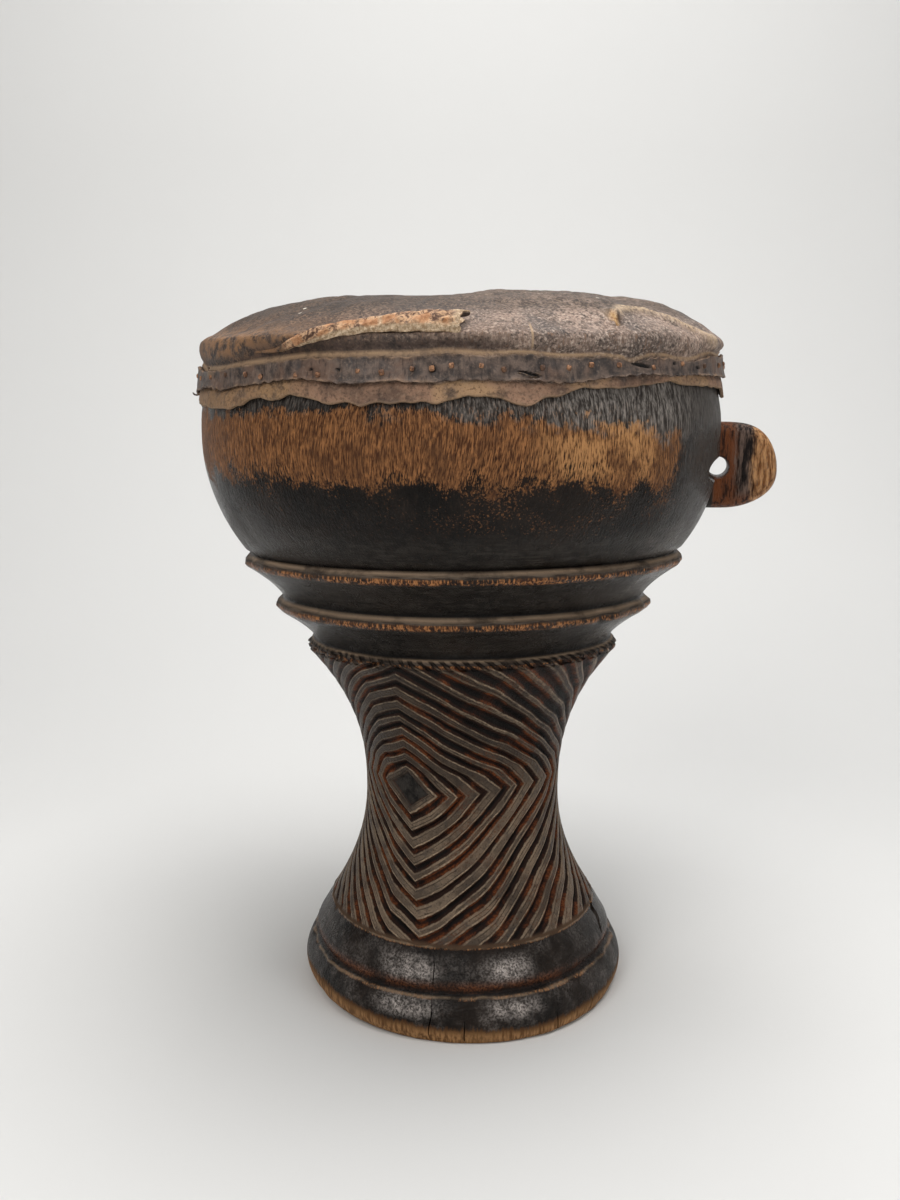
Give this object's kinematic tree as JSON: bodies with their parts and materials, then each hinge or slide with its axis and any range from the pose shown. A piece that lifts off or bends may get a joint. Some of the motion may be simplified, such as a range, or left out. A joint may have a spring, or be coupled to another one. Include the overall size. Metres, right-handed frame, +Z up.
{
  "type": "ceremonial goblet drum",
  "caption": "Carved wooden goblet drum with a pegged hide head, stepped rings, a stem of nested lozenges, a two-step foot and a pierced ear.",
  "frame": {"origin": "centre of the object's box, on the plane that the foot stands on", "axes": "+Z up along the drum, +X towards the pierced ear, -Y the carved front with the lozenge"},
  "size_m": [0.3002, 0.2678, 0.366],
  "materials": {
    "carved_wood": "dark, worn and oiled by handling",
    "aged_hide": "dry grey-brown rawhide, dusty",
    "strap_hide": "dark dry hide",
    "peg_wood": "dry split wood"
  },
  "bodies": {
    "root": {"drum_body": "carved_wood", "drum_head": "aged_hide", "rim_strap": "strap_hide", "peg_01": "peg_wood", "peg_02": "peg_wood", "peg_03": "peg_wood", "peg_04": "peg_wood", "peg_05": "peg_wood", "peg_06": "peg_wood", "peg_07": "peg_wood", "peg_08": "peg_wood", "peg_09": "peg_wood", "peg_10": "peg_wood", "peg_11": "peg_wood", "peg_12": "peg_wood", "peg_13": "peg_wood", "peg_14": "peg_wood", "peg_15": "peg_wood", "peg_16": "peg_wood", "peg_17": "peg_wood", "peg_18": "peg_wood", "peg_19": "peg_wood", "peg_20": "peg_wood", "peg_21": "peg_wood", "peg_22": "peg_wood", "peg_23": "peg_wood", "peg_24": "peg_wood", "peg_25": "peg_wood", "peg_26": "peg_wood", "peg_27": "peg_wood", "peg_28": "peg_wood", "peg_29": "peg_wood", "peg_30": "peg_wood", "peg_31": "peg_wood", "peg_32": "peg_wood", "peg_33": "peg_wood", "peg_34": "peg_wood", "peg_35": "peg_wood", "peg_36": "peg_wood", "peg_37": "peg_wood", "peg_38": "peg_wood", "peg_39": "peg_wood", "peg_40": "peg_wood", "peg_41": "peg_wood", "peg_42": "peg_wood", "peg_43": "peg_wood", "peg_44": "peg_wood", "peg_45": "peg_wood", "peg_46": "peg_wood", "peg_47": "peg_wood", "peg_48": "peg_wood"}
  },
  "joints": []
}
